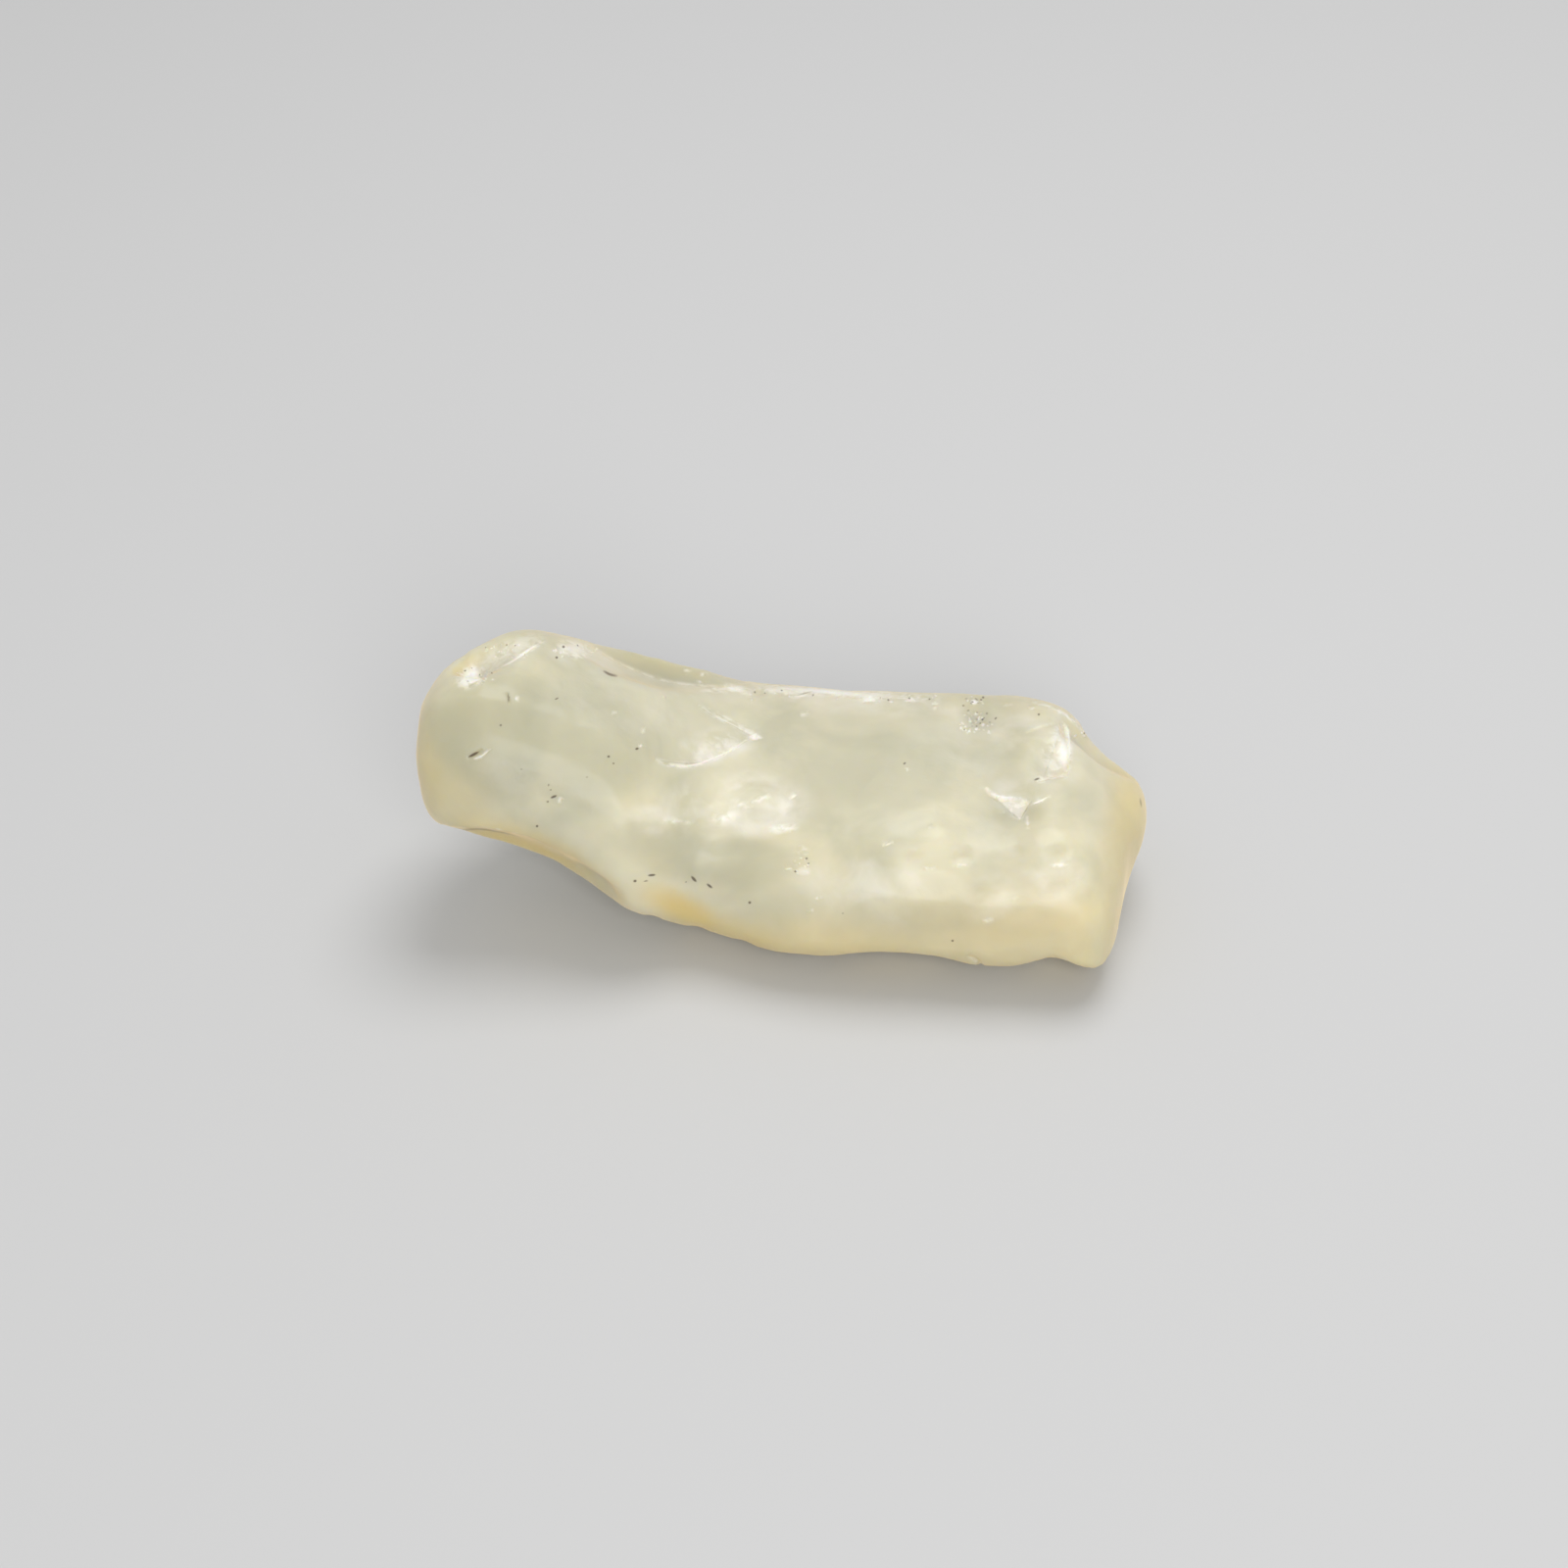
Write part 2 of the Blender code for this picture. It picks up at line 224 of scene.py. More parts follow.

# Marks on the glass, as ovals: middle in the photo, half length, half width, turn from level in
# degrees, and strength. First comes white bruised glass, and painted highlights where edges, chips
# and lumps catch the light.
BRUISES_AND_HIGHLIGHTS = (
    # Bruised glass and painted highlights along the top, from the raised left end to the rough pit.
    ((480, 690), 1.1, 0.7, 25, 1.0), ((520, 664), 2.6, 0.8, 22, 0.35), ((586, 663), 1.3, 0.6, -15, 0.8),
    ((739, 703), 1.6, 0.22, 5, 0.7), ((798, 705), 2.0, 0.28, -8, 0.8), ((888, 714), 0.7, 0.2, -12, 0.8),
    ((932, 715), 0.4, 0.15, -5, 0.7), ((994, 716), 0.24, 0.2, 0, 1.0),
    # Crumbs in the pit.
    ((1003, 739), 0.18, 0.13, 20, 1.0), ((996, 744), 0.17, 0.12, -20, 1.0),
    ((990, 736), 0.15, 0.12, 0, 1.0), ((996, 728), 0.16, 0.12, 30, 1.0), ((1009, 746), 0.14, 0.12, 0, 1.0),
    ((989, 746), 0.15, 0.13, 0, 1.0), ((985, 741), 0.14, 0.1, 0, 0.9),
    # Bruised glass and painted highlights on the crescent, the chip near the right end and the wing-shaped
    # scar.
    ((770, 753), 0.45, 0.25, 0, 1.0), ((730, 762), 1.8, 0.7, 25, 0.4), ((1076, 770), 0.9, 1.5, 0, 0.5),
    ((1085, 770), 0.6, 1.6, 0, 1.0), ((1066, 795), 0.6, 0.2, 20, 0.8), ((1036, 821), 0.9, 0.5, -12, 0.5),
    # Painted highlights on the lit rims below the dimples on the lower right, and whitened glass on a rough
    # spot left of them.
    ((1081, 882), 0.55, 0.15, 0, 0.9), ((982, 882), 0.5, 0.14, 0, 0.8), ((946, 887), 0.45, 0.14, 10, 0.7),
    ((820, 889), 0.5, 0.3, 0, 0.45), ((818, 868), 0.3, 0.5, 70, 0.6),
    # Painted highlights on the lumps of the milky zone in the middle.
    ((738, 834), 0.9, 0.4, 10, 0.75), ((797, 845), 1.1, 0.28, 5, 0.8), ((776, 815), 0.9, 0.16, 20, 0.7),
    ((757, 821), 0.7, 0.14, -25, 0.6), ((690, 838), 1.1, 0.22, -6, 0.5),
    # Small flecks.
    ((657, 745), 0.13, 0.13, 0, 0.9), ((628, 727), 0.13, 0.13, 0, 0.9), ((677, 711), 0.13, 0.13, 0, 0.9),
    ((767, 714), 0.13, 0.13, 0, 0.9), ((950, 842), 0.13, 0.13, 0, 0.9), ((835, 916), 0.14, 0.14, 0, 0.9),
    ((827, 929), 0.13, 0.13, 0, 0.9), ((1034, 915), 0.13, 0.13, 0, 0.9), ((527, 712), 0.13, 0.13, 0, 0.9),
    ((701, 685), 0.2, 0.12, 0, 0.8), ((718, 688), 0.2, 0.12, 0, 0.8), ((714, 695), 0.2, 0.12, 0, 0.8),
    ((654, 761), 0.17, 0.12, 20, 0.9), ((571, 816), 0.16, 0.10, 20, 0.9), ((926, 784), 0.14, 0.10, 0, 0.8),
    ((954, 722), 0.2, 0.12, 0, 0.8), ((1028, 719), 0.2, 0.12, 0, 0.7), ((1053, 723), 0.25, 0.14, 0, 0.8),
)
# Dark grains, and the dark insides of scratches.
DARK_MARKS = (
    # On the left half.
    ((568, 713), 0.18, 0.06, 25, 0.8), ((511, 740), 0.10, 0.10, 0, 0.8), ((483, 770), 0.45, 0.10, 28, 1.0),
    ((519, 712), 0.06, 0.36, 0, 0.8), ((650, 764), 0.14, 0.09, 20, 1.0), ((621, 772), 0.11, 0.10, 0, 0.9),
    ((626, 779), 0.10, 0.07, -40, 0.8), ((532, 785), 0.10, 0.08, 0, 0.5), ((599, 793), 0.12, 0.07, 0, 0.5),
    ((560, 801), 0.06, 0.13, 0, 0.7), ((562, 806), 0.09, 0.07, 0, 0.7), ((565, 813), 0.26, 0.09, 22, 1.0),
    ((559, 818), 0.09, 0.08, 0, 0.8), ((548, 843), 0.11, 0.10, 0, 0.9), ((575, 660), 0.11, 0.11, 0, 0.9),
    ((568, 671), 0.11, 0.10, 0, 0.9), ((700, 672), 0.11, 0.07, 0, 0.6),
    # A row above the foot.
    ((648, 899), 0.13, 0.10, 0, 1.0), ((659, 899), 0.20, 0.06, 10, 0.7), ((665, 893), 0.30, 0.09, 5, 1.0),
    ((700, 900), 0.08, 0.07, 0, 0.7), ((708, 897), 0.30, 0.11, -48, 1.0),
    ((724, 904), 0.28, 0.09, -38, 1.0), ((765, 921), 0.12, 0.11, 0, 0.9),
    # In and round the rough pit.
    ((1016, 733), 0.14, 0.08, 50, 0.7), ((983, 720), 0.10, 0.08, 0, 0.7), ((988, 725), 0.13, 0.09, 20, 0.5),
    ((997, 734), 0.12, 0.08, -20, 0.5), ((1007, 728), 0.12, 0.10, 40, 0.5),
    ((1010, 737), 0.09, 0.08, 0, 0.5), ((992, 741), 0.09, 0.08, 0, 0.4), ((986, 713), 0.14, 0.07, 0, 0.5),
    # Elsewhere on the right half.
    ((823, 876), 0.11, 0.10, 0, 0.7), ((923, 779), 0.13, 0.08, 40, 0.8), ((1060, 729), 0.10, 0.10, 0, 0.8),
    ((972, 960), 0.10, 0.09, 0, 0.9), ((1058, 795), 0.24, 0.09, 20, 0.8), ((860, 932), 0.09, 0.08, 0, 0.5),
    ((1164, 819), 0.09, 0.4, 10, 0.5),
)
# Warm yellow glass along the foot and at both ends, with a painted glow of light through the thin
# glass there, and painted light on the shaded underside.
WARM_AND_GLOW_PATCHES = (
    ((691, 925), 3.5, 1.4, -24, 0.72), ((560, 885), 7.5, 2.6, -30, 0.5), ((1155, 850), 2.6, 8.0, -8, 0.45),
    ((430, 790), 1.8, 6.0, 0, 0.35), ((455, 815), 3.5, 3.5, 0, 0.2), ((1010, 955), 13.0, 4.0, 0, 0.3),
    ((830, 965), 9.0, 2.4, -6, 0.35), ((738, 948), 5.5, 1.4, -22, 0.3), ((525, 864), 5.5, 1.5, -16, 0.5),
)
# Clouds of milky glass close under the surface, and painted highlights on the bright zone in the
# middle, along the top edge and on the light band on the right.
MILK_AND_HIGHLIGHT_PATCHES = (
    ((752, 822), 5.2, 2.3, 0, 0.85), ((678, 838), 3.0, 1.2, -5, 0.5), ((728, 762), 3.2, 1.3, 14, 0.75),
    ((594, 672), 3.0, 1.0, -18, 0.35), ((512, 676), 3.6, 1.0, 28, 0.2), ((640, 720), 5.0, 2.0, -15, 0.2),
    ((517, 792), 2.4, 1.2, -15, 0.2), ((850, 716), 9.0, 0.9, -4, 0.4), ((1000, 760), 6.0, 2.5, 0, 0.2),
    ((1040, 747), 2.4, 1.5, 0, 0.45), ((1070, 770), 2.6, 3.0, 0, 0.45), ((1038, 806), 1.7, 1.4, 0, 0.55),
    ((990, 868), 9.5, 2.4, -4, 0.10), ((1075, 895), 2.6, 2.0, 0, 0.4), ((880, 900), 5.0, 2.0, 0, 0.45),
    ((1012, 915), 2.4, 1.7, 25, 0.4), ((905, 925), 2.6, 1.6, 0, 0.3),
)
# Zones of clearer, darker glass, and painted shade on the left lobe and below the highlights in the middle.
CLEAR_AND_SHADE_PATCHES = (
    ((508, 748), 5.0, 4.6, 0, 0.85), ((600, 758), 5.2, 4.2, -20, 0.75), ((455, 810), 3.0, 3.0, 0, 0.35),
    ((568, 797), 5.0, 1.4, -26, 0.45), ((690, 870), 4.5, 2.0, -15, 0.4), ((757, 880), 3.6, 1.9, 0, 0.4),
    ((880, 780), 5.0, 3.0, 0, 0.2), ((997, 730), 1.3, 1.2, 0, 0.15), ((960, 935), 4.0, 1.2, 0, 0.2),
)
PATCH_FULLNESS = 1.3        # above one, a milky or clear patch is at its full strength over a wider middle
# Painted shade and clearer glass just behind the back ridge, where the facet faces away from the light.
RIDGE_SHADE = 0.75      # how clear the glass is just behind the back ridge
RIDGE_START = 0.2           # mm behind the ridge at which it is as clear as that
# Thin dark lines: the line in the photo, its half width and its strength.
DARK_LINES = (
    (((603, 659), (625, 670), (654, 681)), 0.07, 0.2),
    (((812, 710), (831, 705)), 0.07, 0.4),
    (((668, 775), (686, 778), (706, 779), (724, 775)), 0.05, 0.35),
    (((615, 684), (622, 688), (631, 690)), 0.09, 0.9),
    # Painted shade along the underside fold.
    (((452, 842), (467, 847), (490, 846), (515, 850), (534, 855)), 0.07, 0.45),
)
# Places with painted glints of broken glass and where grains of sand stick: middle, half width
# and half height in photo pixels, and how many of each.
SPARKLE_SPOTS = (
    ((996, 738), 17, 12, 34, 6), ((484, 690), 21, 9, 26, 5), ((520, 664), 27, 9, 28, 4),
    ((588, 664), 24, 8, 22, 1), ((800, 707), 48, 5, 16, 4), ((905, 712), 60, 4, 20, 4),
    ((1104, 744), 12, 11, 12, 4), ((996, 714), 10, 5, 6, 8), ((818, 884), 12, 9, 10, 2),
)
SPARKLE_RADII = (0.06, 0.13)
SAND_RADII = (0.06, 0.11)
NARROWEST_SPOT = 0.5        # least width of such a spot, as a share of its length
FAINTEST_SPOT = 0.7         # its least strength
SPARKLE_SEED = 5

# Where glass is thin, and the painted warm glow of light through it there and at the foot.
GLASS_REACH = 5.0           # mm of glass behind the surface at which it no longer looks thin
LOOK_FROM = 0.05            # mm under the surface from which the glass behind it is measured
LOOK_SPREAD = 0.7           # how far the looks into the glass lean aside
# A painted glow: warm colour where light would shine through thin glass, and at the foot.
GLOW_IN_THIN = 1.5          # how warm the glass is where it is thinnest
GLOW_AT_FOOT = 0.6          # how much warmer it is at the floor
GLOW_FOOT = 2.0             # mm above the floor within which the glass grows warmer

# The glass: clouds of two colours, and what each mark turns them into. A mark has its colour, the
# strength at which it starts to show, the strength at which it shows most, and its share then.
GREENISH_GLASS = (0.56, 0.55, 0.42)
CREAMY_GLASS = (0.69, 0.66, 0.505)
MARK_COLOURS = {
    # Warm glass and a painted glow.
    "warmth_and_glow": ((0.69, 0.53, 0.20), 0.12, 1.0, 0.85),
    # The clear mark: clearer glass and painted shade.
    "clear": ((0.40, 0.395, 0.28), 0.0, 1.0, 0.75),
    # Milky glass and painted highlights.
    "milk_and_highlight": ((0.93, 0.90, 0.86), 0.0, 1.0, 0.6),
    # Whitened bruised glass and painted highlights.
    "bruise_and_highlight": ((0.97, 0.95, 0.89), 0.0, 1.0, 0.9),
    "dark_mark": ((0.11, 0.075, 0.04), 0.15, 0.7, 0.85),
}
# Noises in the glass: the size of their clouds in mm, how many finer ones are in them, and their warp.
CLOUDS = (5.0, 3.0, 0.6)
MILKY_WISPS = (2.0, 4.0, 0.3)
BROKEN_CRUMBS = (0.5, 3.0, 0.5)
GLOSSY_PATCHES = (1.6, 3.0, 0.0)
WORN_SKIN = (0.9, 2.0, 0.4)
ROUGH_SKIN = (0.35, 2.0, 0.0)
# The values of a noise, or of a bruise, at which what it makes begins and is full.
CLOUD_SPAN = (0.35, 0.65)
WISP_SPAN = (0.36, 0.64)
CRUMB_SPAN = (0.40, 0.58)
WHOLE_BRUISE_AND_HIGHLIGHT_SPAN = (0.5, 0.95)
GLOSS_SPAN = (0.3, 0.7)
ROUGHNESS_RANGE = (0.38, 0.50)
WORN_SKIN_HEIGHT = 0.03     # mm
ROUGH_SKIN_HEIGHT = 0.12    # mm
GLASS_SOCKETS = {
    "IOR": 1.46,
    "Subsurface Weight": 1.0,
    "Subsurface Radius": (1.0, 0.8, 0.45),
    "Subsurface Scale": 4 * MM,
    "Coat Weight": 0.2,
    "Coat Roughness": 0.15,
    "Coat IOR": 1.46,
    "Sheen Weight": 0.5,
    "Sheen Roughness": 0.3,
    "Sheen Tint": (1.0, 0.76, 0.42, 1),
}


def make_active(piece):
    bpy.ops.object.select_all(action="DESELECT")
    piece.select_set(True)
    bpy.context.view_layer.objects.active = piece


def apply(piece, modifier):
    make_active(piece)
    bpy.ops.object.modifier_apply(modifier=modifier.name)


def aim(thing, target):
    """Turn a camera or light to look at a point."""
    thing.rotation_euler = (Vector(target) - thing.location).to_track_quat("-Z", "Y").to_euler()


def photo_camera():
    """The camera at the photo's viewing angle."""
    bpy.ops.object.camera_add(location=PICTURE_MIDDLE + Vector(TO_EYE) * EYE_DISTANCE * MM)
    camera = bpy.context.object
    camera.name = "photo_camera"
    camera.data.lens = LENS
    camera.data.sensor_width = SENSOR
    camera.data.clip_start = 1 * MM
    aim(camera, PICTURE_MIDDLE)
    bpy.context.scene.camera = camera


def soft_box(name, place, size, watts):
    """A round soft light, aimed at the stone."""
    bpy.ops.object.light_add(type="AREA", location=place)
    light = bpy.context.object
    light.name = name
    light.data.shape = "DISK"
    light.data.size = size
    light.data.energy = watts
    aim(light, LIGHT_TARGET)


def studio():
    """A plain pale floor under soft light from above and, more strongly, from the front."""
    bpy.ops.mesh.primitive_plane_add(size=FLOOR_SIZE, location=(0, 0, 0))
    floor = bpy.context.object
    floor.name = "floor"
    pale = bpy.data.materials.new("pale_floor")
    pale.use_nodes = True
    paint = pale.node_tree.nodes["Principled BSDF"]
    paint.inputs["Base Color"].default_value = FLOOR_COLOUR
    paint.inputs["Roughness"].default_value = FLOOR_ROUGHNESS
    floor.data.materials.append(pale)

    for box in SOFT_BOXES:
        soft_box(*box)
    world = bpy.data.worlds.new("studio_air")
    world.use_nodes = True
    world.node_tree.nodes["Background"].inputs["Color"].default_value = AIR_COLOUR
    world.node_tree.nodes["Background"].inputs["Strength"].default_value = AIR_STRENGTH
    bpy.context.scene.world = world
    bpy.context.scene.view_settings.view_transform = "Standard"


def smooth(stone, passes, group_name=""):
    wear = stone.modifiers.new("wear", "SMOOTH")
    wear.iterations = passes
    wear.vertex_group = group_name
    apply(stone, wear)


def fine_copy(node, name):
    """A copy of the solid with small even faces and none of its facets."""
    stone = bpy.data.objects.new(name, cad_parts[node].data.copy())
    bpy.context.scene.collection.objects.link(stone)
    make_active(stone)
    bpy.ops.object.mode_set(mode="EDIT")
    bpy.ops.mesh.select_all(action="SELECT")
    bpy.ops.mesh.remove_doubles(threshold=MERGE_DISTANCE * MM)
    bpy.ops.object.mode_set(mode="OBJECT")

    grain = stone.modifiers.new("grain", "REMESH")
    grain.mode = "VOXEL"
    grain.voxel_size = FACE_SIZE * MM
    apply(stone, grain)
    smooth(stone, SMOOTHING)
    stone.data.shade_smooth()
    return stone


def swell(stone, wavelength, height):
    """Gentle ups and downs all over the stone."""
    cloud = bpy.data.textures.new("swell", "CLOUDS")
    cloud.noise_scale = wavelength * MM
    cloud.noise_depth = 1
    step = stone.modifiers.new("swell", "DISPLACE")
    step.texture = cloud
    step.texture_coords = "LOCAL"
    step.strength = height * MM
    step.mid_level = 0.5
    apply(stone, step)


def points_of(stone):
    """The stone's points, in mm, and the way its surface faces at each."""
    count = len(stone.data.vertices)
    points, facing = np.empty(count * 3), np.empty(count * 3)
    stone.data.vertices.foreach_get("co", points)
    stone.data.vertex_normals.foreach_get("vector", facing)
    return points.reshape(-1, 3) / MM, facing.reshape(-1, 3)


def in_photo(stone):
    """Each point's place in the photo, mm right of its middle and above it, and how much it is seen.

    A point just behind the outline still counts a little, so that what is pressed in there notches it.
    """
    points, facing = points_of(stone)
    points = points - np.array(PICTURE_MIDDLE) / MM
    nearer = EYE_DISTANCE / (EYE_DISTANCE - points @ TO_EYE)
    places = np.column_stack((points[:, 0], points @ UP_THE_PHOTO)) * nearer[:, None]
    return places, np.clip(facing @ TO_EYE / SEEN_FADE + 1, 0, 1)


def photo_place(pixels):
    """Photo pixels as mm right of the photo's middle and above it."""
    return (np.array(pixels, float) - PHOTO_WIDTH / 2) * (PIXEL, -PIXEL)


def smooth_line(corners, cuts=6):
    """A curve through these points, with this many short straight pieces between each two."""
    ends = np.vstack((2 * corners[0] - corners[1], corners, 2 * corners[-1] - corners[-2]))
    line = []
    for before, first, second, after in zip(ends, ends[1:], ends[2:], ends[3:]):
        for share in np.arange(cuts) / cuts:
            line.append(first + share * (second - before) / 2
                        + share ** 2 * (before - 2.5 * first + 2 * second - after / 2)
                        + share ** 3 * (1.5 * (first - second) + (after - before) / 2))
    return np.array(line + [corners[-1]])


def from_line(places, corners, reach):
    """How far each place is left of a line (below zero on its right), how far along, and its distance.

    Places further off than the reach keep an endless distance.
    """
    line = smooth_line(photo_place(corners))
    distance = np.full(len(places), np.inf)
    side, along = np.zeros(len(places)), np.zeros(len(places))
    near = np.flatnonzero(((places > line.min(0) - reach) & (places < line.max(0) + reach)).all(1))
    for number, (first, second) in enumerate(zip(line, line[1:])):
        run = second - first
        share = np.clip((places[near] - first) @ run / (run @ run), 0, 1)
        offset = places[near] - first - share[:, None] * run
        away = np.hypot(*offset.T)
        closer = away < distance[near]
        chosen = near[closer]
        distance[chosen] = away[closer]
        side[chosen] = np.sign(run[0] * offset[closer, 1] - run[1] * offset[closer, 0])
        along[chosen] = (number + share[closer]) / (len(line) - 1)
    return side * np.where(np.isinf(distance), 0, distance), along, distance


def taper(along):
    """One along the middle of a line, and zero at its ends."""
    return np.sin(np.pi * along) ** 0.5


def ease(share):
    """A share below zero counts as zero and one above one as one, with a smooth rise between."""
    share = np.clip(share, 0, 1)
    return share * share * (3 - 2 * share)


def step_fall(places, corners, reach, low_side):
    """One at the low side of a line, zero at its high side and from the reach on."""
    side, along, distance = from_line(places, corners, reach)
    inside = side * low_side
    drop = ease((inside + STEP_EDGE) / (2 * STEP_EDGE))
    rise = np.clip(1 - np.clip(inside, 0, None) / reach, 0, 1) ** 2
    return np.where(np.isinf(distance), 0, drop * rise * taper(along))


def band(places, corners, half_width):
    """One on a line, fading to zero beside it and at its ends."""
    _, along, distance = from_line(places, corners, 3 * half_width)
    return np.exp(-(distance / half_width) ** 2) * taper(along)


def within_facet(places, corners):
    """How far each place lies inside the edges of a facet, mm, and below zero outside it."""
    corners = photo_place(corners)
    inside = np.full(len(places), np.inf)
    for first, second in zip(corners, np.roll(corners, -1, axis=0)):
        run = (second - first) / np.linalg.norm(second - first)
        inside = np.minimum(inside, (places - first) @ (run[1], -run[0]))
    return inside


def facet(places, corners):
    """One on a facet, and zero beyond its edges."""
    return ease(within_facet(places, corners) / FACET_EDGE + 0.5)


def oval(places, middle, half_length, half_width, turn):
    """One in the middle of an oval in the photo, and zero from its edge on."""
    turn = math.radians(turn)
    offset = places - photo_place(middle)
    along = offset @ (math.cos(turn), math.sin(turn)) / half_length
    across = offset @ (-math.sin(turn), math.cos(turn)) / half_width
    return np.clip(1 - along ** 2 - across ** 2, 0, 1)


def strongest(places, layers):
    """The strongest of these layers at each place, or zero where none reaches it."""
    most = np.zeros(len(places))
    for layer in layers:
        most = np.maximum(most, layer)
    return most


def ovals(places, marks):
    return strongest(places, (strength * oval(places, *shape) for *shape, strength in marks))


def patches(places, marks):
    """Ovals with a broad even middle and a soft edge."""
    return strongest(places, (strength * ease(PATCH_FULLNESS * oval(places, *shape))
                              for *shape, strength in marks))


def group_points(stone, strengths):
    """A group of the stone's points, each with its own weight, for a modifier to work on."""
    group = stone.vertex_groups.new(name="reach")
    for corner in np.flatnonzero(strengths > 0.001):
        group.add([int(corner)], strengths[corner], "REPLACE")
    return group.name


def wear_smooth(stone):
    """Take away the rims where the photo shows none."""
    places, seen = in_photo(stone)
    softened = strongest(places, (oval(places, *shape) for shape in WORN_RIMS))
    smooth(stone, WORN_PASSES, group_points(stone, ease(2 * softened) * seen))
    stone.vertex_groups.clear()


def scatter(luck, middle, half_width, half_height, count, radii):
    """Small spots at random places inside an oval in the photo."""
    spots = []
    for _ in range(count):
        way, share = luck.uniform(0, math.tau), luck.random() ** 0.5
        place = (middle[0] + half_width * share * math.cos(way),
                 middle[1] + half_height * share * math.sin(way))
        radius = luck.uniform(*radii)
        half_breadth = radius * luck.uniform(NARROWEST_SPOT, 1.0)
        turn, strength = luck.uniform(0, 180), luck.uniform(FAINTEST_SPOT, 1.0)
        spots.append((place, radius, half_breadth, turn, strength))
    return spots


def sparkles_and_sand():
    """Painted glints of broken glass and dark grains of sand, where the photo shows them."""
    luck = np.random.default_rng(SPARKLE_SEED)
    sparkles, sand = [], []
    for middle, half_width, half_height, bright_count, dark_count in SPARKLE_SPOTS:
        sparkles += scatter(luck, middle, half_width, half_height, bright_count, SPARKLE_RADII)
        sand += scatter(luck, middle, half_width, half_height, dark_count, SAND_RADII)
    return sparkles, sand


def refine(stone, reach, small_marks):
    """Make the faces smaller near the steps, the furrows, the facets' edges and the small marks."""
    places, seen = in_photo(stone)
    near = np.zeros(len(places), bool)
    for corners, *_ in [*SEEN_STEPS.values(), *SEEN_FURROWS.values(), *DARK_LINES]:
        near |= from_line(places, corners, reach)[2] < reach
    for middle, half_length, half_width, turn, _ in small_marks:
        near |= oval(places, middle, half_length + reach, half_width + reach, turn) > 0
    for corners, _, _ in SEEN_FACETS.values():
        near |= np.abs(within_facet(places, corners)) < reach
    near &= seen > FINE_FROM
    make_active(stone)
    bpy.context.tool_settings.mesh_select_mode = (False, False, True)
    bpy.ops.object.mode_set(mode="EDIT")
    bpy.ops.mesh.select_all(action="DESELECT")
    bpy.ops.object.mode_set(mode="OBJECT")
    for face in stone.data.polygons:
        face.select = all(near[corner] for corner in face.vertices)
    bpy.ops.object.mode_set(mode="EDIT")
    bpy.ops.mesh.subdivide(number_cuts=1)
    bpy.ops.object.mode_set(mode="OBJECT")


def shift_surface(stone, heights):
    """Raise the surface by these heights, in mm, or press it in where they are below zero."""
    for sign in (1, -1):
        amounts = np.clip(heights * sign, 0, None)
        most = amounts.max()
        if most == 0:
            continue
        step = stone.modifiers.new("relief", "DISPLACE")
        step.vertex_group = group_points(stone, amounts / most)
        step.mid_level = 0
        step.strength = sign * most * MM
        apply(stone, step)
        stone.vertex_groups.clear()


def seen_relief(stone):
    """Heights of all that the photo shows on the stone's surface, mm."""
    places, seen = in_photo(stone)
    heights = np.zeros(len(places))
    for corners, depth, reach, low_side, _, _ in SEEN_STEPS.values():
        heights -= depth * step_fall(places, corners, reach, low_side)
    for corners, half_width, depth, _ in SEEN_FURROWS.values():
        heights -= depth * band(places, corners, half_width)
    for corners, depth, _ in SEEN_FACETS.values():
        heights -= depth * facet(places, corners)
    for middle, half_length, half_width, turn, depth in SEEN_HOLLOWS.values():
        heights -= depth * oval(places, middle, half_length, half_width, turn) ** 1.5
    return heights * seen


def hidden_relief(stone, luck):
    """Flake scars where the photo does not show the stone, and how bright their broken edges are.

    Each is sharp on one side, where its edge is bright, and fades to the other.
    """
    points, facing = points_of(stone)
    hidden = np.flatnonzero(facing @ TO_EYE < HIDDEN_FROM)
    heights, broken = np.zeros(len(points)), np.zeros(len(points))
    for count, smallest, largest, depth_share, brightness in HIDDEN_SCARS:
        for middle in luck.choice(hidden, count):
            radius = smallest + (largest - smallest) * luck.random() ** 2
            way = np.cross(facing[middle], luck.normal(size=3))
            way /= np.linalg.norm(way)
            offset = points - points[middle]
            share = np.linalg.norm(offset, axis=1) / radius
            wall = ease((1 - share) / HIDDEN_WALL)
            fall = ease((offset @ way / radius + 1) / 2) * ease(facing @ facing[middle] * 2)
            heights -= depth_share * radius * wall * fall
            rim = np.exp(-((1 - share) * radius / HIDDEN_EDGE) ** 2)
            broken = np.maximum(broken, brightness * rim * ease(2 * fall - 0.8))
    away = ease(-facing @ TO_EYE / HIDDEN_FADE)
    return heights * away, broken * away


def hidden_flecks(stone, luck, count, smallest, largest):
    """Small flecks where the photo does not show the stone."""
    points, facing = points_of(stone)
    flecks = np.zeros(len(points))
    for middle in luck.choice(np.flatnonzero(facing @ TO_EYE < HIDDEN_FROM), count):
        share = np.linalg.norm(points - points[middle], axis=1) / luck.uniform(smallest, largest)
        flecks = np.maximum(flecks, np.clip(1.5 * (1 - share), 0, 1))
    return flecks


def rest_on_floor(stone):
    """Flatten what reaches below the floor."""
    make_active(stone)
    bpy.context.tool_settings.mesh_select_mode = (True, False, False)
    bpy.ops.object.mode_set(mode="EDIT")
    bpy.ops.mesh.select_all(action="DESELECT")
    bpy.ops.object.mode_set(mode="OBJECT")
    for corner in stone.data.vertices:
        corner.select = corner.co.z < 0
    bpy.ops.object.mode_set(mode="EDIT")
    bpy.ops.transform.resize(value=(1, 1, 0), center_override=(0, 0, 0))
    bpy.ops.object.mode_set(mode="OBJECT")


